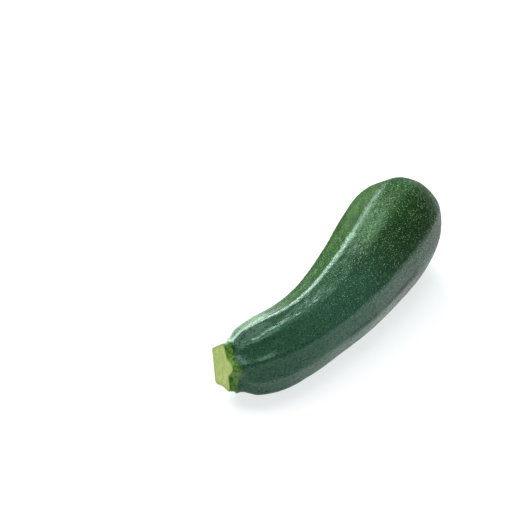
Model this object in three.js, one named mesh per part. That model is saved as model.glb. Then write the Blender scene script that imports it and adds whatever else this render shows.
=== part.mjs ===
// A courgette lying on its side on a table, all sizes in millimetres.
// +X runs from the cut stem to the blossom end, +Z is up, and the fruit bows towards -Y.
// Z = 0 is the table; X = Y = 0 is the middle of the outline seen from above.
import * as THREE from "three";

// Centre line of the fruit, from the stem seat to the blossom tip
const FRUIT_CHORD = 158.05;
const NECK_PULL = { along: 46.75, sideways: -29.3 };
const BELLY_PULL = { along: 122.1, sideways: -4.5 };
const SEAT_HEIGHT = 17.0;
const NECK_HEIGHT = 15.5;
const BELLY_HEIGHT = 25.5;
const TIP_HEIGHT = 25.0;

// Half thickness of the flesh at stations along the centre line (share of its length, radius)
const GIRTH = [
  [0.0, 12.2], [0.018, 13.4], [0.05, 16.0], [0.12, 17.85], [0.2, 17.8], [0.32, 18.05],
  [0.45, 19.95], [0.6, 22.0], [0.76, 23.8],
];
const BELLY_RADIUS = 23.8;
const BELLY_SHARE = 0.76;
const DOME_FULLNESS = 2.34;
const DOME_ROUNDNESS = 1.6;

// Lengthwise ribs: the flesh is flattened between the main ones, and lower ones lie among them.
// Angles are degrees round the section, 0 towards -Y and 90 straight up; a rib drifts from its
// angle at the stem to the one it has on the belly.
const RIBS = [
  { atStem: 31, onBelly: 27, main: true, body: 0.45, shoulder: 1.9, width: 7 },
  { atStem: 66, onBelly: 74, main: true, body: 0.3, shoulder: 1.7, width: 8 },
  { atStem: 96, onBelly: 104, main: true, body: 0.55, shoulder: 2.0, width: 9 },
  { atStem: 130, onBelly: 141, main: false, body: 1.0, shoulder: 1.6, width: 13 },
  { atStem: 166, onBelly: 170, main: true, body: 0.7, shoulder: 1.8, width: 9 },
  { atStem: 208, onBelly: 211, main: false, body: 0.35, shoulder: 1.5, width: 9 },
  { atStem: 251, onBelly: 252, main: true, body: 0.4, shoulder: 1.6, width: 9 },
  { atStem: 286, onBelly: 286, main: false, body: 0.3, shoulder: 1.5, width: 9 },
  { atStem: 320, onBelly: 320, main: true, body: 0.4, shoulder: 1.7, width: 8 },
  { atStem: 355, onBelly: 353, main: false, body: 0.15, shoulder: 1.4, width: 8 },
];
const DRIFT_LENGTH = 95;
const SHOULDER_REACH = 14;
const SHOULDER_RISE = 4;
const RIB_RUNOUT = 30;
const RIB_SETBACK = 0.12;

// How far the flesh is flattened between the main ribs, and how soft the edges are
const FACET_DEPTH = 0.24;
const FACET_SOFTNESS = 5.5;
const FACET_RUNOUT = 14;

// Five-cornered stem stub: each corner's angle and radius, and how far the side that follows
// it is hollowed, on the cut face and at the foot where the stub meets the flesh
const CUT_CORNERS = [
  { angle: 32.6, radius: 11.6, hollow: 1.8 }, { angle: 98, radius: 12.4, hollow: 0 },
  { angle: 162, radius: 11.7, hollow: 0 }, { angle: 247, radius: 12.3, hollow: 0.65 },
  { angle: 318, radius: 11.4, hollow: 2.6 },
];
const CUT_SOFTNESS = 4.5;
const FOOT_CORNERS = [
  { angle: 28, radius: 13.6, hollow: 1.6 }, { angle: 92, radius: 12.7, hollow: 0.5 },
  { angle: 163, radius: 11.5, hollow: 0.6 }, { angle: 251, radius: 12.2, hollow: 0.5 },
  { angle: 320, radius: 12.3, hollow: 1.7 },
];
const FOOT_SOFTNESS = 9;
const STEM_LENGTH = 3.5;
// Slant of the cut: how far it stands out for each millimetre towards -Y and upwards
const CUT_SLANT = { near: -0.075, up: -0.069 };
const STEM_FLARE = 0.7;
const CUT_BEVEL = 0.3;
const SEAT_GAP = 0.3;
const SEAT_LIP = 0.9;
const SEAT_BLEND = 4;

// Dry scar where the blossom dropped: a low ring with a dished middle
const SCAR_RADIUS = 4.2;
const SCAR_RING = 0.3;
const SCAR_DISH = 0.45;

// Depth of the flattened strip the fruit rests on
const REST_FLAT = 0.55;

// Fineness of the surface
const SIDES = 96;
const BODY_RINGS = 46;

const DEG = Math.PI / 180;

// Smooth curve through the stations of a table of [share, value] pairs
function through(table, share) {
  let i = 0;
  while (i < table.length - 2 && share > table[i + 1][0]) i += 1;
  const slope = (k) => {
    if (k === table.length - 1) return 0;
    const a = table[Math.max(k - 1, 0)];
    const b = table[k + 1];
    return (b[1] - a[1]) / (b[0] - a[0]);
  };
  const [x0, y0] = table[i];
  const [x1, y1] = table[i + 1];
  const h = x1 - x0;
  const t = Math.min(Math.max((share - x0) / h, 0), 1);
  const t2 = t * t;
  const t3 = t2 * t;
  return (2 * t3 - 3 * t2 + 1) * y0 + (t3 - 2 * t2 + t) * h * slope(i)
    + (3 * t2 - 2 * t3) * y1 + (t3 - t2) * h * slope(i + 1);
}

// Smallest turn between two directions, in degrees
function turn(a, b) {
  return ((((a - b) % 360) + 540) % 360) - 180;
}

// Side of a many-cornered outline met by a ray at the given angle
function sideAt(corners, angle) {
  const n = corners.length;
  for (let k = 0; k < n; k += 1) {
    const from = corners[k];
    const to = corners[(k + 1) % n];
    const span = (((to.angle - from.angle) % 360) + 360) % 360;
    const past = (((angle - from.angle) % 360) + 360) % 360;
    if (past <= span) {
      const chord = from.radius * to.radius * Math.sin(span * DEG)
        / (from.radius * Math.sin(past * DEG) + to.radius * Math.sin((span - past) * DEG));
      return chord - from.hollow * Math.sin((Math.PI * past) / span) ** 2;
    }
  }
  return corners[0].radius;
}

// The same outline with its corners softened
function softSideAt(corners, angle, softness) {
  let sum = 0;
  for (const step of [-1, -0.5, 0, 0.5, 1]) sum += sideAt(corners, angle + step * softness);
  return sum / 5;
}

function cutOutline(angle) {
  return softSideAt(CUT_CORNERS, angle, CUT_SOFTNESS);
}

function footOutline(angle) {
  return softSideAt(FOOT_CORNERS, angle, FOOT_SOFTNESS);
}

// Angle of a rib at a distance from the stem
function ribAngle(rib, along) {
  const t = Math.min(1, Math.max(0, along / DRIFT_LENGTH));
  return rib.atStem + (rib.onBelly - rib.atStem) * t * t * (3 - 2 * t);
}

// Share by which the flattened section differs from a round one of the same mean radius
const mainRibs = RIBS.filter((rib) => rib.main);
function facetOutline(along, angle) {
  const corners = mainRibs.map((rib) => ({ angle: ribAngle(rib, along), radius: 1, hollow: 0 }));
  return softSideAt(corners, angle, FACET_SOFTNESS);
}
let facetMean = 0;
for (let angle = 0; angle < 360; angle += 1) facetMean += facetOutline(DRIFT_LENGTH, angle) / 360;

// 0 at the blossom tip, 1 once the given distance from it is reached
function easeFromTip(share, distance) {
  const t = Math.min(1, Math.max(0, ((1 - share) * FRUIT_LENGTH) / distance));
  return t * t * (3 - 2 * t);
}

// Half thickness of the flesh without ribs
function flesh(share) {
  if (share <= BELLY_SHARE) return through(GIRTH, share);
  const w = (share - BELLY_SHARE) / (1 - BELLY_SHARE);
  return BELLY_RADIUS * Math.pow(Math.max(1 - Math.pow(w, DOME_FULLNESS), 0), 1 / DOME_ROUNDNESS);
}

const spine = new THREE.CubicBezierCurve3(
  new THREE.Vector3(0, 0, SEAT_HEIGHT),
  new THREE.Vector3(NECK_PULL.along, NECK_PULL.sideways, NECK_HEIGHT),
  new THREE.Vector3(BELLY_PULL.along, BELLY_PULL.sideways, BELLY_HEIGHT),
  new THREE.Vector3(FRUIT_CHORD, 0, TIP_HEIGHT),
);
spine.arcLengthDivisions = 600;
const FRUIT_LENGTH = spine.getLength();

// Radius of the ribbed skin at a share of the length and an angle round the section
function skin(share, angle) {
  const along = share * FRUIT_LENGTH;
  const nearStem = Math.exp(-along / SHOULDER_REACH);
  const rise = 1 - Math.exp(-along / SHOULDER_RISE);
  const flattened = FACET_DEPTH * rise * easeFromTip(share, FACET_RUNOUT);
  const fade = easeFromTip(share, RIB_RUNOUT);
  let radius = flesh(share) * (1 + flattened * (facetOutline(along, angle) - facetMean));
  for (const rib of RIBS) {
    const off = turn(angle, ribAngle(rib, along)) / rib.width;
    const height = (rib.body + (rib.shoulder - rib.body) * nearStem) * rise * fade;
    radius += height * (Math.exp(-off * off) - RIB_SETBACK);
  }
  const seat = Math.exp(-((along / SEAT_BLEND) ** 2));
  return radius * (1 - seat) + (footOutline(angle) + SEAT_LIP) * seat;
}

// Plane across the centre line: its middle, the direction towards -Y and the upward one
function sectionAt(share) {
  const centre = spine.getPointAt(share);
  const tangent = spine.getTangentAt(share).normalize();
  const near = new THREE.Vector3().crossVectors(tangent, new THREE.Vector3(0, 0, 1)).normalize();
  const up = new THREE.Vector3().crossVectors(near, tangent);
  return { centre, tangent, near, up };
}

function pointOn(section, offset, radius, angle) {
  return section.centre.clone()
    .addScaledVector(section.tangent, offset)
    .addScaledVector(section.near, radius * Math.cos(angle * DEG))
    .addScaledVector(section.up, radius * Math.sin(angle * DEG));
}

// Closed skin from rings of points, a single point closing each end
function closedSkin(rings, firstPoint, lastPoint) {
  const n = rings[0].length;
  const positions = [];
  for (const ring of rings) for (const p of ring) positions.push(p.x, p.y, p.z);
  const first = rings.length * n;
  const last = first + 1;
  positions.push(firstPoint.x, firstPoint.y, firstPoint.z, lastPoint.x, lastPoint.y, lastPoint.z);
  const index = [];
  for (let j = 0; j < n; j += 1) {
    const k = (j + 1) % n;
    index.push(first, j, k);
    for (let i = 0; i < rings.length - 1; i += 1) {
      const a = i * n;
      const b = a + n;
      index.push(a + j, b + j, a + k, a + k, b + j, b + k);
    }
    const end = (rings.length - 1) * n;
    index.push(end + j, last, end + k);
  }
  const geometry = new THREE.BufferGeometry();
  geometry.setAttribute("position", new THREE.Float32BufferAttribute(positions, 3));
  geometry.setIndex(index);
  return geometry;
}

function ringOf(section, offset, radiusAt) {
  const ring = [];
  for (let j = 0; j < SIDES; j += 1) {
    const angle = (j * 360) / SIDES;
    ring.push(pointOn(section, offset, radiusAt(angle), angle));
  }
  return ring;
}

// Fruit: shoulder, waist, belly and dome, closed by the seat and the blossom scar
const fruitRings = [];
const scarShare = (() => {
  let low = BELLY_SHARE;
  let high = 1;
  for (let i = 0; i < 50; i += 1) {
    const mid = (low + high) / 2;
    if (flesh(mid) > SCAR_RADIUS) low = mid;
    else high = mid;
  }
  return low;
})();
for (let i = 0; i <= BODY_RINGS; i += 1) {
  const t = i / BODY_RINGS;
  const even = t - 0.11 * Math.sin(2 * Math.PI * t) / (2 * Math.PI) * 4.2;
  const share = scarShare * even;
  fruitRings.push(ringOf(sectionAt(share), 0, (angle) => skin(share, angle)));
}
const scarSection = sectionAt(scarShare);
const scarRings = [
  [0.86, SCAR_RING], [0.7, SCAR_RING * 0.9], [0.5, -SCAR_DISH * 0.6], [0.25, -SCAR_DISH],
];
for (const [share, offset] of scarRings) {
  fruitRings.push(ringOf(scarSection, offset, () => SCAR_RADIUS * share));
}
const seatSection = sectionAt(0);
const fruitGeometry = closedSkin(
  fruitRings,
  seatSection.centre,
  scarSection.centre.clone().addScaledVector(scarSection.tangent, -SCAR_DISH * 0.6),
);

// Stem stub: flares to the foot, ends in a flat slanting cut with a fine bevel.
// Each ring has its share of the way from foot to cut, what its outline gains, and a step back.
function stemOut(share, radius, angle) {
  const slant = CUT_SLANT.near * Math.cos(angle * DEG) + CUT_SLANT.up * Math.sin(angle * DEG);
  return SEAT_GAP + share * (STEM_LENGTH - SEAT_GAP + radius * slant);
}
const stemRings = [
  [1, -CUT_BEVEL, 0], [1, 0, CUT_BEVEL], [0.62, 0.05, 0], [0.32, 0.25 * STEM_FLARE, 0],
  [0.12, 0.7 * STEM_FLARE, 0], [0, 0.5 * STEM_FLARE, 0],
].map(([share, grow, back]) => {
  const ring = [];
  for (let j = 0; j < SIDES; j += 1) {
    const angle = (j * 360) / SIDES;
    const radius = footOutline(angle) * (1 - share) + cutOutline(angle) * share + grow;
    ring.push(pointOn(seatSection, back - stemOut(share, radius, angle), radius, angle));
  }
  return ring;
});
const stemGeometry = closedSkin(
  stemRings,
  seatSection.centre.clone().addScaledVector(seatSection.tangent, -STEM_LENGTH),
  seatSection.centre.clone().addScaledVector(seatSection.tangent, -SEAT_GAP),
);

// Settle the fruit on the table: sink it a little and flatten what lies below
fruitGeometry.computeBoundingBox();
const sink = -fruitGeometry.boundingBox.min.z - REST_FLAT;
fruitGeometry.translate(0, 0, sink);
stemGeometry.translate(0, 0, sink);
const skinPoints = fruitGeometry.getAttribute("position");
for (let i = 0; i < skinPoints.count; i += 1) {
  if (skinPoints.getZ(i) < 0) skinPoints.setZ(i, 0);
}

// Bring the middle of the outline to the origin
const outline = new THREE.Box3();
for (const geometry of [fruitGeometry, stemGeometry]) {
  geometry.computeBoundingBox();
  outline.union(geometry.boundingBox);
}
const middle = outline.getCenter(new THREE.Vector3());
for (const geometry of [fruitGeometry, stemGeometry]) {
  geometry.translate(-middle.x, -middle.y, 0);
  geometry.computeVertexNormals();
}

const fruit = new THREE.Mesh(
  fruitGeometry,
  new THREE.MeshStandardMaterial({ color: "#2a5230", roughness: 0.38, metalness: 0 }),
);
fruit.name = "fruit";

const stem = new THREE.Mesh(
  stemGeometry,
  new THREE.MeshStandardMaterial({ color: "#9dbb52", roughness: 0.7, metalness: 0 }),
);
stem.name = "stem";

const courgette = new THREE.Group();
courgette.name = "courgette";
courgette.add(fruit, stem);
export default courgette;
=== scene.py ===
import math

import bpy
import numpy as np
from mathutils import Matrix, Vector, noise


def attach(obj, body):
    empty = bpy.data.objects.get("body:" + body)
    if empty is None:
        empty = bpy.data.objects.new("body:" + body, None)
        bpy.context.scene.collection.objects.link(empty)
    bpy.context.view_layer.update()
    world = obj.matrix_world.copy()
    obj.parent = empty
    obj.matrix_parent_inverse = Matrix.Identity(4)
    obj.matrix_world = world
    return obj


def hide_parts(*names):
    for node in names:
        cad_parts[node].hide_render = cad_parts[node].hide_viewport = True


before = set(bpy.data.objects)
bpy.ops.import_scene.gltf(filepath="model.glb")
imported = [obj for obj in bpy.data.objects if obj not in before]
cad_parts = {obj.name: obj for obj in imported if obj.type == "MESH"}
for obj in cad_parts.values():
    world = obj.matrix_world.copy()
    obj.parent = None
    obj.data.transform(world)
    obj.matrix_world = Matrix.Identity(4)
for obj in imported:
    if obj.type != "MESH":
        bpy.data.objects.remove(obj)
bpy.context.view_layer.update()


# The fruit is one grown piece of firm flesh under a thin waxy skin. It bows sideways, has a waist
# behind the stem and a fuller blossom end, and ten low ribs run along it from the stem shoulder.
# Lengths are in millimetres until the mesh is made, and angles round the fruit in degrees.
MM = 0.001

spine_pulls = np.array([
    [0.0, 0.0, 17.0],
    [46.75, -29.3, 15.5],
    [122.1, -4.5, 25.5],
    [158.05, 0.0, 25.0],
])
seat_centre = np.array([-75.222, 7.533, 16.793])

girth_share = np.array([0.0, 0.018, 0.05, 0.12, 0.2, 0.32, 0.45, 0.6, 0.76])
girth_radius = np.array([12.2, 13.4, 16.0, 17.85, 17.8, 18.05, 19.95, 22.0, 23.8])
dome_fullness = 2.34
dome_roundness = 1.6

# angle round the section at the stem and on the belly, height on the body, at the shoulder, width
main_ribs = [
    (31, 27, 0.45, 1.9, 7),
    (66, 74, 0.3, 1.7, 8),
    (96, 104, 0.55, 2.0, 9),
    (166, 170, 0.7, 1.8, 9),
    (251, 252, 0.4, 1.6, 9),
    (320, 320, 0.4, 1.7, 8),
]
between_ribs = [
    (130, 141, 1.0, 1.6, 13),
    (208, 211, 0.35, 1.5, 9),
    (286, 286, 0.3, 1.5, 9),
    (355, 353, 0.15, 1.4, 8),
]
crest_rib = main_ribs[2]
drift_length = 95.0
shoulder_reach = 14.0
shoulder_rise = 4.0
rib_runout = 30.0
rib_setback = 0.12
facet_depth = 0.24
facet_softness = 5.5
facet_runout = 14.0

# angle and radius of each corner of the stem's foot, and how far the side after it is hollowed
foot_corners = [
    (28, 13.6, 1.6),
    (92, 12.7, 0.5),
    (163, 11.5, 0.6),
    (251, 12.2, 0.5),
    (320, 12.3, 1.7),
]
foot_softness = 9.0
seat_lip = 0.9
seat_blend = 4.0


def bezier(t):
    weights = [(1 - t) ** 3, 3 * t * (1 - t) ** 2, 3 * t * t * (1 - t), t ** 3]
    return np.stack(weights, axis=-1) @ spine_pulls


spine_points = 4001
fine_steps = np.linspace(0, 1, spine_points)
fine_spine = bezier(fine_steps) - spine_pulls[0] + seat_centre
fine_along = np.concatenate([[0], np.cumsum(np.linalg.norm(np.diff(fine_spine, axis=0), axis=1))])
fruit_length = fine_along[-1]
fine_tangent = np.gradient(fine_spine, fine_along, axis=0)


def section_at(along):
    """Middle of the cross section, the way along the fruit, towards -Y and upwards."""
    along = np.asarray(along, float)
    inside = np.clip(along, 0, fruit_length)
    middle = np.stack([np.interp(inside, fine_along, fine_spine[:, k]) for k in range(3)], axis=-1)
    tangent = np.stack([np.interp(inside, fine_along, fine_tangent[:, k]) for k in range(3)], axis=-1)
    tangent /= np.linalg.norm(tangent, axis=-1, keepdims=True)
    near = np.cross(tangent, [0.0, 0.0, 1.0])
    near /= np.linalg.norm(near, axis=-1, keepdims=True)
    up = np.cross(near, tangent)
    middle = middle + (along - inside)[..., None] * tangent
    return middle, tangent, near, up


def girth_at(share):
    """Radius from the stem to the belly, as a smooth curve through the girths."""
    slope = np.zeros(len(girth_share))
    for k in range(len(girth_share) - 1):
        before = max(k - 1, 0)
        rise = girth_radius[k + 1] - girth_radius[before]
        slope[k] = rise / (girth_share[k + 1] - girth_share[before])
    k = np.clip(np.searchsorted(girth_share, share) - 1, 0, len(girth_share) - 2)
    span = girth_share[k + 1] - girth_share[k]
    t = np.clip((share - girth_share[k]) / span, 0, 1)
    start = (2 * t ** 3 - 3 * t ** 2 + 1) * girth_radius[k] + (t ** 3 - 2 * t ** 2 + t) * span * slope[k]
    end = (3 * t ** 2 - 2 * t ** 3) * girth_radius[k + 1] + (t ** 3 - t ** 2) * span * slope[k + 1]
    return start + end


def flesh_radius(share):
    """Radius without ribs: the girths as far as the belly, then the dome of the blossom end."""
    share = np.asarray(share, float)
    belly = girth_share[-1]
    past = np.clip((share - belly) / (1 - belly), 0, 1)
    dome = girth_radius[-1] * (1 - past ** dome_fullness) ** (1 / dome_roundness)
    return np.where(share <= belly, girth_at(np.minimum(share, belly)), dome)


def outline_side(corners, angle):
    """Radius of a many-cornered outline; each corner has an angle, a radius and a hollow."""
    radius = np.zeros_like(angle)
    for k, (start, first, hollow) in enumerate(corners):
        stop, second, _ = corners[(k + 1) % len(corners)]
        span = np.radians((stop - start) % 360)
        past = np.radians((angle - start) % 360)
        chord = first * second * np.sin(span)
        chord = chord / np.maximum(first * np.sin(past) + second * np.sin(span - past), 1e-6)
        side = chord - hollow * np.sin(np.pi * past / span) ** 2
        radius = np.where(past <= span, side, radius)
    return radius


def soft_outline(corners, angle, softness):
    steps = (-1, -0.5, 0, 0.5, 1)
    return sum(outline_side(corners, angle + step * softness) for step in steps) / len(steps)


def foot_outline(angle):
    return soft_outline(foot_corners, angle, foot_softness)


def rib_angle(rib, along):
    t = np.clip(along / drift_length, 0, 1)
    return rib[0] + (rib[1] - rib[0]) * t * t * (3 - 2 * t)


def facet_outline(along, angle):
    corners = [(rib_angle(rib, along), 1.0, 0.0) for rib in main_ribs]
    return soft_outline(corners, angle, facet_softness)


facet_mean = facet_outline(drift_length, np.arange(360.0)).mean()


def ease_from_tip(along, distance):
    left = np.clip((fruit_length - along) / distance, 0, 1)
    return left * left * (3 - 2 * left)


def angle_apart(first, second):
    return (first - second + 180) % 360 - 180


def skin_radius(along, angle):
    """Radius of the ribbed skin; along and angle are arrays of the same shape."""
    near_stem = np.exp(-along / shoulder_reach)
    rise = 1 - np.exp(-along / shoulder_rise)
    flattened = facet_depth * rise * ease_from_tip(along, facet_runout)
    radius = flesh_radius(along / fruit_length)
    radius = radius * (1 + flattened * (facet_outline(along, angle) - facet_mean))
    fade = ease_from_tip(along, rib_runout)
    for rib in main_ribs + between_ribs:
        _, _, body, shoulder, width = rib
        off = angle_apart(angle, rib_angle(rib, along)) / width
        height = (body + (shoulder - body) * near_stem) * rise * fade
        radius = radius + height * (np.exp(-off * off) - rib_setback)
    seat = np.exp(-((along / seat_blend) ** 2))
    return radius * (1 - seat) + (foot_outline(angle) + seat_lip) * seat


def place_rings(along, radius, angle):
    middle, _, near, up = section_at(along)
    turn = np.radians(angle)[..., None]
    return middle + radius[..., None] * (near * np.cos(turn) + up * np.sin(turn))


def ring_mesh(name, rings, first_point, last_point):
    """Closed mesh from rings of points in millimetres, with a lengthwise UV layout."""
    count, sides, _ = rings.shape
    points = np.concatenate([rings.reshape(-1, 3), [first_point, last_point]]) * MM
    first = count * sides
    faces = []
    layout = []
    for i in range(-1, count):
        low = (i + 1) / (count + 1)
        high = (i + 2) / (count + 1)
        for j in range(sides):
            k = (j + 1) % sides
            left = j / sides
            right = (j + 1) / sides
            a = i * sides
            b = a + sides
            if i < 0:
                faces.append((first, j, k))
                layout += [((left + right) / 2, low), (left, high), (right, high)]
            elif i == count - 1:
                faces.append((a + j, first + 1, a + k))
                layout += [(left, low), ((left + right) / 2, high), (right, low)]
            else:
                faces.append((a + j, b + j, b + k, a + k))
                layout += [(left, low), (left, high), (right, high), (right, low)]
    mesh = bpy.data.meshes.new(name)
    mesh.from_pydata(points.tolist(), [], faces)
    mesh.uv_layers.new(name="OFBake").data.foreach_set("uv", np.array(layout).ravel())
    mesh.polygons.foreach_set("use_smooth", [True] * len(faces))
    mesh.update()
    piece = bpy.data.objects.new(name, mesh)
    bpy.context.scene.collection.objects.link(piece)
    return piece


def give_place(piece, name, values):
    """Keeps a position on the grown shape with each point, for the material to follow."""
    layer = piece.data.attributes.new(name, "FLOAT_VECTOR", "POINT")
    layer.data.foreach_set("vector", np.ascontiguousarray(values, np.float32).ravel())


# the scar begins where the dome has narrowed to the scar's radius
scar_radius = 4.2
scar_halvings = 60
low_share = girth_share[-1]
high_share = 1.0
for _ in range(scar_halvings):
    middle_share = (low_share + high_share) / 2
    if flesh_radius(middle_share) > scar_radius:
        low_share = middle_share
    else:
        high_share = middle_share
scar_along = low_share * fruit_length

# the rings of the skin stand closer together at both ends
fruit_sides = 224
fruit_rings = 270
ring_crowding = 0.075
fruit_angle = np.arange(fruit_sides) * 360.0 / fruit_sides - 90
ring_step = np.linspace(0, 1, fruit_rings)
ring_step = ring_step - ring_crowding * np.sin(2 * np.pi * ring_step)
along_grid, angle_grid = np.meshgrid(ring_step * scar_along, fruit_angle, indexing="ij")
radius_grid = skin_radius(along_grid, angle_grid)

# low lumps, longer along the fruit than across it, that break the ribs' straight lines
lump_height = 0.18
lump_length = 22
lump_width = 9
dimple_height = 0.09
dimple_length = 4.2
dimple_width = 2.6
dimple_shift = 40
lumps_start = 5
lumps_stop = 4
lumps = np.zeros_like(radius_grid)
turn_grid = np.radians(angle_grid)
for i in range(fruit_rings):
    for j in range(fruit_sides):
        spot = Vector((
            along_grid[i, j],
            radius_grid[i, j] * math.cos(turn_grid[i, j]),
            radius_grid[i, j] * math.sin(turn_grid[i, j]),
        ))
        lump = Vector((spot.x / lump_length, spot.y / lump_width, spot.z / lump_width))
        dimple = Vector((
            spot.x / dimple_length + dimple_shift,
            spot.y / dimple_width,
            spot.z / dimple_width,
        ))
        lumps[i, j] = lump_height * noise.noise(lump) + dimple_height * noise.noise(dimple)
stem_ease = np.clip(along_grid / lumps_start, 0, 1)
scar_ease = np.clip((scar_along - along_grid) / lumps_stop, 0, 1)
radius_grid = radius_grid + lumps * (stem_ease * scar_ease)

body_rings = place_rings(along_grid, radius_grid, angle_grid)

# the scar: a low dry ring round a dished middle, with a small knob in its heart; places in it are
# shares of its radius
scar_ring_height = 0.3
scar_ring_place = 0.82
scar_ring_width = 0.13
scar_dish = 0.45
scar_dish_edge = 0.66
scar_dish_slope = 0.4
scar_knob_height = 0.25
scar_knob_width = 0.16
scar_steps = 14
scar_share = np.linspace(0.96, 0.06, scar_steps)
scar_rise = scar_ring_height * np.exp(-(((scar_share - scar_ring_place) / scar_ring_width) ** 2))
scar_rise -= scar_dish * np.clip((scar_dish_edge - scar_share) / scar_dish_slope, 0, 1)
scar_rise += scar_knob_height * np.exp(-((scar_share / scar_knob_width) ** 2))
scar_grid, scar_angle = np.meshgrid(scar_share, fruit_angle, indexing="ij")
scar_middle, scar_way, scar_near, scar_up = section_at(np.full(scar_grid.shape, scar_along))
scar_turn = np.radians(scar_angle)[..., None]
scar_out = scar_grid[..., None] * scar_radius
scar_rings = scar_middle + scar_rise[:, None, None] * scar_way
scar_rings = scar_rings + scar_out * (scar_near * np.cos(scar_turn) + scar_up * np.sin(scar_turn))

# the underside is pressed flat where it lies on the table
all_rings = np.concatenate([body_rings, scar_rings])
all_rings[..., 2] = np.maximum(all_rings[..., 2], 0.0)
tip_point = scar_middle[0, 0] - (scar_dish - scar_knob_height) * scar_way[0, 0]

fruit = ring_mesh("courgette_fruit", all_rings, section_at(0.0)[0], tip_point)

grain_along = np.concatenate([along_grid, np.full(scar_grid.shape, scar_along)])
grain_radius = np.concatenate([radius_grid, scar_grid * scar_radius])
grain_turn = np.radians(np.concatenate([angle_grid, scar_angle]))
grain = np.stack(
    [grain_along, grain_radius * np.cos(grain_turn), grain_radius * np.sin(grain_turn)], axis=-1
).reshape(-1, 3)
grain = np.concatenate([grain, [[0, 0, 0], [scar_along, 0, 0]]])
give_place(fruit, "grain", grain)


def put(tree, kind, **settings):
    """One shader node; settings name its properties, or its input sockets by their labels."""
    made = tree.nodes.new(kind)
    for name, value in settings.items():
        if hasattr(made, name):
            setattr(made, name, value)
        else:
            made.inputs[name].default_value = value
    return made


def calculate(tree, operation, *values):
    made = put(tree, "ShaderNodeMath", operation=operation)
    for socket, value in zip(made.inputs, values):
        if isinstance(value, (int, float)):
            socket.default_value = value
        else:
            tree.links.new(value, socket)
    return made.outputs[0]


def product(tree, first, *others):
    for other in others:
        first = calculate(tree, "MULTIPLY", first, other)
    return first


def total(tree, first, *others):
    for other in others:
        first = calculate(tree, "ADD", first, other)
    return first


def ramp(tree, value, span, to=(0.0, 1.0), smooth=True):
    """Goes from one number to another while the value crosses the span."""
    made = put(tree, "ShaderNodeMapRange", interpolation_type="SMOOTHSTEP" if smooth else "LINEAR")
    for label, number in zip(("From Min", "From Max", "To Min", "To Max"), (*span, *to)):
        made.inputs[label].default_value = number
    tree.links.new(value, made.inputs["Value"])
    return made.outputs["Result"]


def tint(tree, mask, first, second):
    """Lays the second colour over the first where the mask says."""
    made = put(tree, "ShaderNodeMix", data_type="RGBA")
    mask_socket, first_socket, second_socket = made.inputs[0], made.inputs[6], made.inputs[7]
    tree.links.new(mask, mask_socket)
    for socket, colour in ((first_socket, first), (second_socket, second)):
        if isinstance(colour, tuple):
            socket.default_value = (*colour, 1.0)
        else:
            tree.links.new(colour, socket)
    return made.outputs[2]


def spread_nodes(tree, to_a_column=8, wide=200, tall=320):
    """Lays the nodes out in columns, in the order in which they were made."""
    for number, made in enumerate(tree.nodes):
        made.location = (number // to_a_column * wide, -(number % to_a_column) * tall)


skin = bpy.data.materials.new("courgette_skin")
skin.use_nodes = True
tree = skin.node_tree
tree.nodes.clear()
link = tree.links.new
place = put(tree, "ShaderNodeAttribute", attribute_name="grain")
parts = put(tree, "ShaderNodeSeparateXYZ")
link(place.outputs["Vector"], parts.inputs[0])
along, across, upward = parts.outputs
turned = calculate(tree, "ARCTAN2", upward, across)
degrees = calculate(tree, "MULTIPLY", turned, 180 / math.pi)


def stretched(per_mm, shift=(0, 0, 0)):
    """The place on the skin, counted in steps of a chosen length along and across the fruit."""
    made = put(tree, "ShaderNodeVectorMath", operation="MULTIPLY_ADD")
    made.inputs[1].default_value = per_mm
    made.inputs[2].default_value = shift
    link(place.outputs["Vector"], made.inputs[0])
    return made.outputs[0]


def clouds(per_mm, detail=3.0, roughness=0.55):
    made = put(tree, "ShaderNodeTexNoise", Scale=1.0, Detail=detail, Roughness=roughness)
    link(stretched(per_mm), made.inputs["Vector"])
    return made.outputs["Fac"]


def dots(per_mm, shift, size, strength, edge=0.12):
    """Scattered round dots, one or none to a cell, each of its own size and strength."""
    cells = put(tree, "ShaderNodeTexVoronoi", feature="F1", Scale=1.0, Randomness=1.0)
    link(stretched(per_mm, shift), cells.inputs["Vector"])
    chance = put(tree, "ShaderNodeSeparateColor")
    link(cells.outputs["Color"], chance.inputs[0])
    reach = ramp(tree, chance.outputs[0], (0.0, 1.0), size, smooth=False)
    inside = calculate(tree, "SUBTRACT", reach, cells.outputs["Distance"])
    mask = ramp(tree, inside, (0.0, edge))
    return product(tree, mask, ramp(tree, chance.outputs[1], (0.0, 1.0), strength, smooth=False))


# cloudy change from deep to middle green, drawn out along the fruit, and finer lengthwise streaks
skin_deep = (0.0070, 0.031, 0.0055)
skin_middle = (0.0145, 0.056, 0.0105)
cloud = clouds((0.035, 0.10, 0.10), detail=4.0, roughness=0.6)
green = tint(tree, ramp(tree, cloud, (0.32, 0.68)), skin_deep, skin_middle)
streak = clouds((0.07, 0.75, 0.75))
green = tint(tree, ramp(tree, streak, (0.35, 0.7), (0.0, 0.35)), green, skin_middle)

# towards the neck, below the crest, a bluish cast lies over the green, partly the wax's own bloom and
# partly painted sheen
bloom_and_sheen_blue = (0.030, 0.102, 0.058)
bloom_sheen_end = ramp(tree, along, (62, 110), (0.95, 0.0))
bloom_sheen_start = ramp(tree, along, (15, 45), (0.72, 1.0))
bloom_sheen_side = ramp(tree, degrees, (62, 80), (1.0, 0.45))
green = tint(tree, product(tree, bloom_sheen_end, bloom_sheen_start, bloom_sheen_side), green, bloom_and_sheen_blue)
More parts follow.
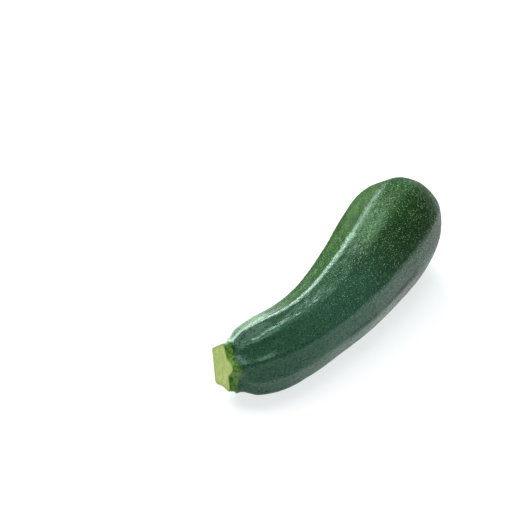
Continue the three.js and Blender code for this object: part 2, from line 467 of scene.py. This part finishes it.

# painted light: a brighter grass-green stripe beyond the crest, where the inner side of the bow faces
# the side light
lit_side_green = (0.032, 0.100, 0.008)
crest = ramp(tree, along, (0, drift_length), crest_rib[:2])
past_crest = calculate(tree, "SUBTRACT", degrees, crest)
lit_stripe_start = ramp(tree, past_crest, (0, 9))
lit_stripe_stop = ramp(tree, degrees, (150, 172), (1.0, 0.0))
lit_stripe_patch = ramp(tree, clouds((0.15, 0.45, 0.45)), (0.36, 0.60), (0.15, 1.0))
green = tint(tree, product(tree, lit_stripe_start, lit_stripe_stop, lit_stripe_patch), green, lit_side_green)

# painted sheen: a lighter green between the crest and the next rib on the belly, where that facet
# mirrors a broad light
belly_sheen_green = (0.050, 0.125, 0.046)
facet_start = ramp(tree, degrees, (70, 80))
facet_stop = ramp(tree, past_crest, (-8, 2), (1.0, 0.0))
beside_crest = product(tree, facet_start, facet_stop)
belly_sheen_start = ramp(tree, along, (78, 104), (0.0, 0.80))
belly_sheen_fade = ramp(tree, along, (106, 126), (1.0, 0.40))
belly_sheen = product(tree, beside_crest, product(tree, belly_sheen_start, belly_sheen_fade))
green = tint(tree, belly_sheen, green, belly_sheen_green)

# dark pits where the wax is broken, a few larger nicks, and a dull line of painted shade along a furrow
# low on the near side
pit_and_shade_dark = (0.002, 0.009, 0.002)
groove_angle = -5
pits_and_furrow_shade = dots((1.35, 1.45, 1.45), (7.3, 1.9, 4.4), size=(0.22, 0.50), strength=(0.60, 1.0))
nicks = dots((0.09, 0.12, 0.12), (2.6, 8.1, 3.3), size=(-0.06, 0.07), strength=(0.8, 1.0))
from_groove = calculate(tree, "ABSOLUTE", calculate(tree, "SUBTRACT", degrees, groove_angle))
furrow_shade_line = ramp(tree, from_groove, (1, 9), (0.55, 0.0))
furrow_shade_start = ramp(tree, along, (40, 62))
furrow_shade_stop = ramp(tree, along, (98, 116), (1.0, 0.0))
furrow_shade = product(tree, furrow_shade_line, furrow_shade_start, furrow_shade_stop)
pits_and_furrow_shade = calculate(tree, "MAXIMUM", calculate(tree, "MAXIMUM", pits_and_furrow_shade, nicks), furrow_shade)
green = tint(tree, pits_and_furrow_shade, green, pit_and_shade_dark)

# dense pale flecks, fainter towards the neck
skin_fleck = (0.33, 0.48, 0.29)
flecks = dots((1.75, 1.85, 1.85), (0, 0, 0), size=(0.0, 0.48), strength=(0.40, 1.0))
fleck_share = ramp(tree, along, (20, 95), (0.26, 0.95))
green = tint(tree, product(tree, flecks, fleck_share), green, skin_fleck)

# blossom end: a yellow-green halo, then the dry cream scar with its brown middle
tip_yellow = (0.30, 0.36, 0.05)
scar_cream = (0.52, 0.42, 0.20)
scar_brown = (0.16, 0.085, 0.03)
from_axis = total(tree, product(tree, across, across), product(tree, upward, upward))
from_axis = calculate(tree, "SQRT", from_axis)
halo_reach = 12
halo_full = 6
at_tip = ramp(tree, along, (scar_along - halo_reach, scar_along - halo_full))


def round_scar(inner, outer, most):
    """A mask round the scar's middle, from an inner to an outer share of its radius."""
    span = (scar_radius * inner, scar_radius * outer)
    return product(tree, ramp(tree, from_axis, span, (most, 0.0)), at_tip)


green = tint(tree, round_scar(0.9, 1.9, 0.85), green, tip_yellow)
scar = round_scar(0.86, 1.02, 1.0)
green = tint(tree, scar, green, scar_cream)
green = tint(tree, round_scar(0.12, 0.5, 0.9), green, scar_brown)

# waxy gloss, duller on streaks, pits, the belly and the scar
streak_dull = ramp(tree, streak, (0.3, 0.7), (0.16, 0.26), smooth=False)
pit_dull = product(tree, pits_and_furrow_shade, 0.40)
belly_dull = ramp(tree, along, (70, 140), (0.0, 0.22))
scar_dull = product(tree, scar, 0.45)
dullness = total(tree, streak_dull, pit_dull, belly_dull, scar_dull)

# the shine is weaker in pits, on the dome and beside the crest, and stronger low on the near side
belly_share = ramp(tree, along, (40, 95))
crown_share = ramp(tree, degrees, (28, 48))
pit_shine = calculate(tree, "MULTIPLY_ADD", pits_and_furrow_shade, -0.26, 0.37)
near_shine = product(tree, ramp(tree, degrees, (22, 36), (0.16, 0.0)), belly_share)
dome_matt = product(tree, ramp(tree, along, (95, 138), (0.0, 0.20)), crown_share)
crest_matt = product(tree, ramp(tree, along, (42, 64), (0.0, 0.14)), beside_crest)
shine = calculate(tree, "SUBTRACT", total(tree, pit_shine, near_shine), dome_matt)
shine = calculate(tree, "MAXIMUM", calculate(tree, "SUBTRACT", shine, crest_matt), 0.0)

# the wax tints what it mirrors, bluish on the neck and the near side, greener on top of the belly
sheen_cool = (0.62, 1.0, 0.90)
sheen_green = (0.56, 1.0, 0.68)
sheen = tint(tree, product(tree, belly_share, crown_share), sheen_cool, sheen_green)

# fine peel, streaks and pits stand in relief
peel_height = product(tree, clouds((0.55, 0.8, 0.8)), 0.14)
streak_height = product(tree, streak, 0.10)
pit_depth = product(tree, pits_and_furrow_shade, -0.05)
bump = put(tree, "ShaderNodeBump", Strength=0.7, Distance=MM)
link(total(tree, peel_height, streak_height, pit_depth), bump.inputs["Height"])

shade = put(tree, "ShaderNodeBsdfPrincipled", IOR=1.45)
link(green, shade.inputs["Base Color"])
link(dullness, shade.inputs["Roughness"])
link(shine, shade.inputs["Specular IOR Level"])
link(sheen, shade.inputs["Specular Tint"])
link(bump.outputs["Normal"], shade.inputs["Normal"])
surface = put(tree, "ShaderNodeOutputMaterial")
link(shade.outputs[0], surface.inputs["Surface"])
spread_nodes(tree)

fruit.data.materials.append(skin)
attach(fruit, "root")
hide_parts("fruit")


# The stem is a short stub of the fibrous five-cornered stalk, cut a little slantwise with a knife.
# Its knobbly wall flares onto the shoulder and ends in a ragged edge, drawn out at the corners.
cut_corners = [
    (32.6, 11.6, 1.8),
    (98, 12.4, 0.0),
    (162, 11.7, 0.0),
    (247, 12.3, 0.65),
    (318, 11.4, 2.6),
]
cut_softness = 4.5
cut_bevel = 0.3
slant_near = -0.075
slant_up = -0.069
stem_length = 3.5
stem_sides = 288

stem_angle = np.arange(stem_sides) * 360.0 / stem_sides - 90
stem_turn = np.radians(stem_angle)
cut_edge = soft_outline(cut_corners, stem_angle, cut_softness)
foot_edge = foot_outline(stem_angle)
slant = slant_near * np.cos(stem_turn) + slant_up * np.sin(stem_turn)

stem_rings = []
stem_marks = []


def stem_ring(along, radius, cut, knobs, share):
    """A ring of the stem; the material follows how cut, how knobbly and how far out it is."""
    stem_rings.append(place_rings(along, radius, stem_angle))
    marks = [np.full(stem_sides, cut), np.broadcast_to(knobs, stem_sides), np.full(stem_sides, share)]
    stem_marks.append(np.stack(marks, axis=-1))


# the cut face, very slightly dished and scored by the knife, with a rounded edge
cut_dish = 0.30
score_depth = 0.05
score_turns = 2.3
cut_steps = 22
bevel_steps = 5
for share in np.linspace(0.05, 0.965, cut_steps):
    radius = (cut_edge - cut_bevel) * share
    score = score_depth * np.sin(radius * np.sin(stem_turn) * score_turns)
    sag = cut_dish * (1 - share ** 2)
    stem_ring(sag + score - stem_length - radius * slant, radius, 1.0, 0.0, share)
for step in np.linspace(0, 1, bevel_steps):
    turn = step * math.pi / 2
    back = cut_bevel * (1 - math.cos(turn))
    radius = cut_edge + cut_bevel * (math.sin(turn) - 1)
    stem_ring(back - stem_length - radius * slant, radius, 1.0 - step, 0.0, 1.0)

# the wall, knobbly towards the fruit
stem_flare = 0.7
knob_size = 1.1
knob_height = 0.32
knobs_full = 0.25
wall_steps = 24
for step in np.linspace(0.06, 1.0, wall_steps):
    radius = cut_edge * (1 - step) + foot_edge * step
    along = (step - 1) * (stem_length - cut_bevel + radius * slant)
    knobs = np.array([
        noise.noise(Vector((r * math.cos(t), r * math.sin(t), a)) / knob_size)
        for r, t, a in zip(radius, stem_turn, along)
    ])
    swell = stem_flare * step ** 3 + knob_height * knobs * min(1.0, step / knobs_full)
    stem_ring(along, radius + swell, 0.0, knobs, 1.0)

# the ragged edge over the shoulder, thinning out into the skin and drawn out in tongues
edge_reach = 0.25
edge_least = 0.15
edge_raggedness = 0.55
rag_size = 6.0
rag_place = (11.3, 5.1)
tongue_reach = (1.6, 0.8, 0.8, 0.8, 0.8)
tongue_width = 9.0
edge_lift = 0.22
edge_tuck = 0.08
edge_steps = 10
ragged = np.array([noise.noise(Vector((angle / rag_size, *rag_place))) for angle in stem_angle])
reach = edge_reach + edge_raggedness * ragged
for (corner_angle, _, _), far in zip(foot_corners, tongue_reach):
    off = angle_apart(stem_angle, corner_angle) / tongue_width
    reach = reach + far * np.exp(-off * off)
reach = np.maximum(reach, edge_least)
for step in np.linspace(0.05, 1.0, edge_steps):
    lift = edge_lift * (1 - step ** 2) - edge_tuck * step
    radius = skin_radius(reach * step, stem_angle)
    stem_ring(reach * step, radius + lift, 0.0, ragged - step, 1.0 + step)

# the middle of the cut closes the stem outside, and a point within the fruit closes it inside
closing_depth = 0.4
cut_middle = section_at(cut_dish - stem_length)[0]
inner_middle = section_at(closing_depth)[0]
stem = ring_mesh("courgette_stem", np.array(stem_rings), cut_middle, inner_middle)
cut_middle_marks = [1, 0, 0]
inner_middle_marks = [0, 0, 2]
stalk = np.array(stem_marks).reshape(-1, 3)
stalk = np.concatenate([stalk, [cut_middle_marks, inner_middle_marks]])
give_place(stem, "stalk", stalk)

# pale watery flesh on the cut, greener at its rim, and a grass-green wall with painted shade in the
# hollows between knobs
cut_pale = (0.56, 0.63, 0.19)
cut_green = (0.30, 0.42, 0.065)
wall_bright = (0.105, 0.245, 0.015)
knob_hollow_shade = (0.022, 0.090, 0.007)
fibres_per_metre = (620, 620, 260)

stalk_skin = bpy.data.materials.new("courgette_stalk")
stalk_skin.use_nodes = True
tree = stalk_skin.node_tree
tree.nodes.clear()
link = tree.links.new
place = put(tree, "ShaderNodeAttribute", attribute_name="stalk")
marks = put(tree, "ShaderNodeSeparateXYZ")
link(place.outputs["Vector"], marks.inputs[0])
cut, knob, share = marks.outputs
spot = put(tree, "ShaderNodeTexCoord")
drawn = put(tree, "ShaderNodeVectorMath", operation="MULTIPLY")
drawn.inputs[1].default_value = fibres_per_metre
link(spot.outputs["Object"], drawn.inputs[0])
fibres = put(tree, "ShaderNodeTexNoise", Scale=1.0, Detail=6.0, Roughness=0.85)
link(drawn.outputs[0], fibres.inputs["Vector"])
cut_colour = tint(tree, ramp(tree, fibres.outputs["Fac"], (0.35, 0.68)), cut_green, cut_pale)
cut_colour = tint(tree, ramp(tree, share, (0.80, 0.99)), cut_colour, cut_green)
wall_colour = tint(tree, ramp(tree, knob, (-0.60, 0.55)), knob_hollow_shade, wall_bright)
bump = put(tree, "ShaderNodeBump", Strength=0.5, Distance=MM)
link(product(tree, fibres.outputs["Fac"], 0.3), bump.inputs["Height"])
shade = put(tree, "ShaderNodeBsdfPrincipled", Roughness=0.5)
shade.inputs["Specular IOR Level"].default_value = 0.35
link(tint(tree, cut, wall_colour, cut_colour), shade.inputs["Base Color"])
link(bump.outputs["Normal"], shade.inputs["Normal"])
surface = put(tree, "ShaderNodeOutputMaterial")
link(shade.outputs[0], surface.inputs["Surface"])
spread_nodes(tree)

stem.data.materials.append(stalk_skin)
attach(stem, "root")
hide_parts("stem")


# The table is a plain white sheet, far wider than the picture. It glows a little, as a sheet lit
# from below does, so that the shadow on it stays pale.
table_half = 3.0
table_grey = (0.34, 0.34, 0.34)
table_glow = (0.97, 0.99, 1.0)
table_glow_strength = 0.76
sheet = bpy.data.meshes.new("table")
sheet.from_pydata(
    [(-table_half, -table_half, 0), (table_half, -table_half, 0),
     (table_half, table_half, 0), (-table_half, table_half, 0)],
    [], [(0, 1, 2, 3)],
)
table = bpy.data.objects.new("table", sheet)
bpy.context.scene.collection.objects.link(table)
white = bpy.data.materials.new("table_white")
white.use_nodes = True
white_face = white.node_tree.nodes["Principled BSDF"]
white_face.inputs["Base Color"].default_value = (*table_grey, 1)
white_face.inputs["Roughness"].default_value = 0.9
white_face.inputs["Specular IOR Level"].default_value = 0.1
white_face.inputs["Emission Color"].default_value = (*table_glow, 1)
white_face.inputs["Emission Strength"].default_value = table_glow_strength
sheet.materials.append(white)


# The camera stands off the stem end, on the outer side of the bow, and looks down at about a third
# of a right angle.
camera_turn = math.radians(-54.83)
camera_rise = math.radians(34.0)
camera_distance = 1.150
camera_aim = Vector((0.02400, 0.06289, 0.0))
camera_lens = 165.0

back = Vector((
    math.sin(camera_turn) * math.cos(camera_rise),
    -math.cos(camera_turn) * math.cos(camera_rise),
    math.sin(camera_rise),
))
eye = bpy.data.cameras.new("camera")
eye.lens = camera_lens
eye.sensor_width = 36.0
eye.clip_start = 0.01
camera = bpy.data.objects.new("camera", eye)
camera.location = camera_aim + back * camera_distance
camera.rotation_euler = back.to_track_quat("Z", "Y").to_euler()
bpy.context.scene.collection.objects.link(camera)
bpy.context.scene.camera = camera


# Soft studio lights, placed as seen from the camera: right, away and up, in metres. All of them
# face the fruit.
picture_right = Vector((math.cos(camera_turn), math.sin(camera_turn), 0))
picture_away = Vector((-math.sin(camera_turn), math.cos(camera_turn), 0))


def softbox(name, right, away, up, wide, tall, watts, colour=(1, 1, 1)):
    lamp = bpy.data.lights.new(name, "AREA")
    lamp.shape = "RECTANGLE"
    lamp.size = wide
    lamp.size_y = tall
    lamp.energy = watts
    lamp.color = colour
    box = bpy.data.objects.new(name, lamp)
    box.location = picture_right * right + picture_away * away + Vector((0, 0, up))
    box.rotation_euler = box.location.to_track_quat("Z", "Y").to_euler()
    bpy.context.scene.collection.objects.link(box)


back_light = (0.85, 1.0, 0.93)
softbox("overhead_softbox", right=0.0, away=0.10, up=1.50, wide=1.1, tall=1.1, watts=15)
softbox("side_softbox", right=-0.75, away=0.15, up=0.95, wide=0.7, tall=0.7, watts=6)
softbox("back_softbox", right=-0.23, away=1.08, up=0.70, wide=0.5, tall=0.72, watts=17,
        colour=back_light)
softbox("far_softbox", right=0.30, away=0.97, up=0.76, wide=0.42, tall=0.50, watts=0.15)


# A pale and a dark card stand along the inner side of the bow, beside the neck and beside the
# belly, and show only in the skin's reflections.
card_line = 0.055


def card(name, start, stop, tall, colour, glow):
    shape = bpy.data.meshes.new(name)
    shape.from_pydata(
        [(start, card_line, 0), (stop, card_line, 0), (stop, card_line, tall), (start, card_line, tall)],
        [], [(0, 1, 2, 3)],
    )
    board = bpy.data.objects.new(name, shape)
    bpy.context.scene.collection.objects.link(board)
    paint = bpy.data.materials.new(name)
    paint.use_nodes = True
    face = paint.node_tree.nodes["Principled BSDF"]
    face.inputs["Base Color"].default_value = (*colour, 1)
    face.inputs["Roughness"].default_value = 1.0
    face.inputs["Emission Color"].default_value = (*colour, 1)
    face.inputs["Emission Strength"].default_value = glow
    shape.materials.append(paint)
    board.visible_camera = False
    board.visible_shadow = False
    board.visible_diffuse = False


card("pale_card", start=-0.060, stop=0.000, tall=0.060, colour=(0.80, 0.95, 0.88), glow=3.4)
card("dark_card", start=0.012, stop=0.150, tall=0.042, colour=(0.03, 0.07, 0.02), glow=0.0)


# The room gives a faint bluish light from all round, and colours are shown as they are.
room_light = (0.9, 0.95, 1.0)
room_strength = 0.17
world = bpy.data.worlds.new("studio")
world.use_nodes = True
world.node_tree.nodes["Background"].inputs["Color"].default_value = (*room_light, 1)
world.node_tree.nodes["Background"].inputs["Strength"].default_value = room_strength
bpy.context.scene.world = world
bpy.context.scene.view_settings.view_transform = "Standard"
bpy.context.scene.view_settings.look = "None"
